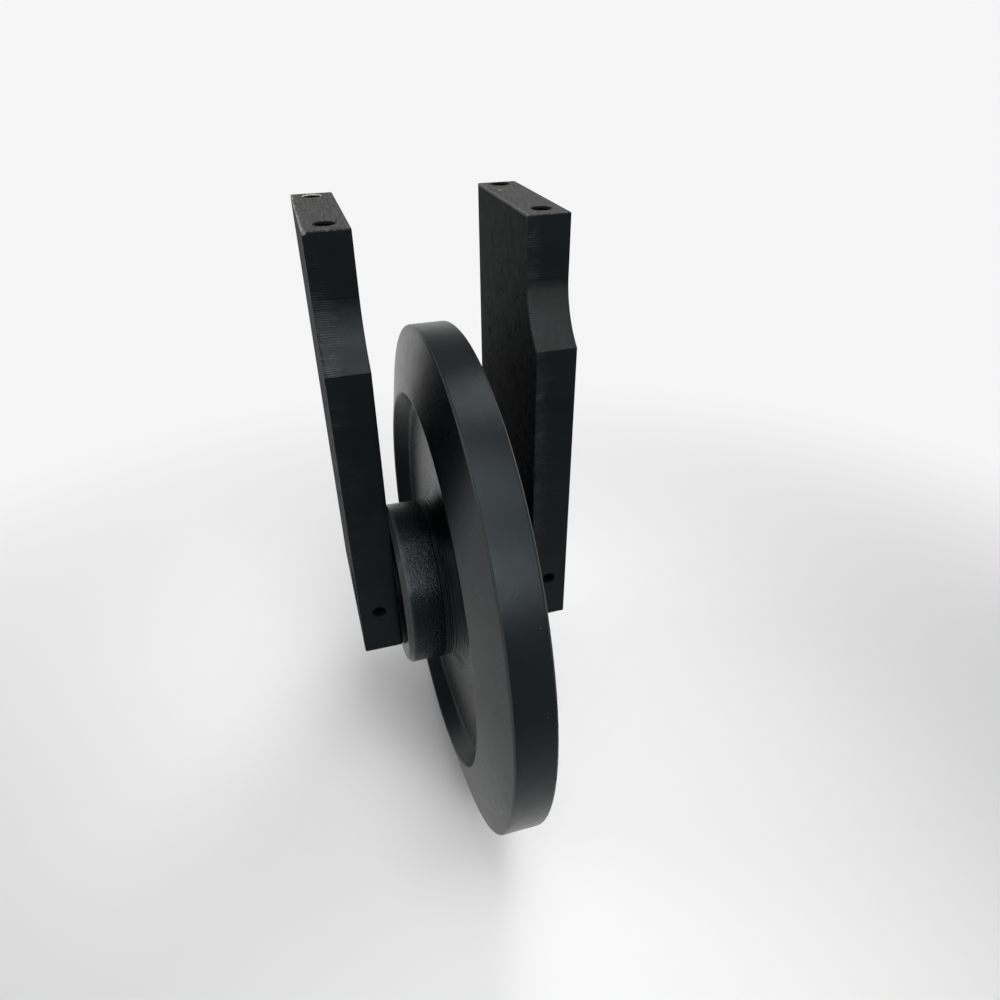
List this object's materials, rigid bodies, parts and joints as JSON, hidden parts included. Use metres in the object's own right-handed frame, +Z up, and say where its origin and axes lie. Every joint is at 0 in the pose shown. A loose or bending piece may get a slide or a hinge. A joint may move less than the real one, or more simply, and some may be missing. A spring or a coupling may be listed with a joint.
{
  "type": "front idler",
  "caption": "Front idler for a small tracked excavator: a single-flange steel wheel on a fixed axle between stepped side plates that bolt to a tensioner yoke.",
  "frame": {"origin": "centre of the wheel, on the axle's axis", "axes": "+Z up along the side plates, towards the bolted top faces; +X towards the plates' stepped front edges; +Y along the axle, towards the right plate"},
  "size_m": [0.345, 0.1436, 0.411],
  "materials": {
    "wheel_paint": "satin black paint over machined forging",
    "plate_paint": "satin black paint over flame-cut plate",
    "axle_paint": "satin black paint on the ends",
    "collar_steel": "turned",
    "pin_steel": "dark oiled spring steel",
    "plug_steel": "zinc plated, dull",
    "seal_iron": "lapped face",
    "seal_rubber": "matte",
    "bronze": "machined"
  },
  "bodies": {
    "side_frame": {"left_bracket": "plate_paint", "right_bracket": "plate_paint", "axle": "axle_paint", "left_lock_pin": "pin_steel", "right_lock_pin": "pin_steel", "left_seal_collar": "collar_steel", "right_seal_collar": "collar_steel", "left_fixed_seal_ring": "seal_iron", "right_fixed_seal_ring": "seal_iron", "left_fixed_toric": "seal_rubber", "right_fixed_toric": "seal_rubber", "left_axle_o_ring": "seal_rubber", "right_axle_o_ring": "seal_rubber"},
    "wheel": {"idler_wheel": "wheel_paint", "left_bush": "bronze", "right_bush": "bronze", "left_turning_seal_ring": "seal_iron", "right_turning_seal_ring": "seal_iron", "left_turning_toric": "seal_rubber", "right_turning_toric": "seal_rubber", "oil_plug": "plug_steel"}
  },
  "joints": [
    {"name": "wheel_spin", "type": "hinge", "parent": "side_frame", "child": "wheel", "pos_m": [0, 0, 0], "axis": [0, 1, 0], "continuous": true}
  ]
}
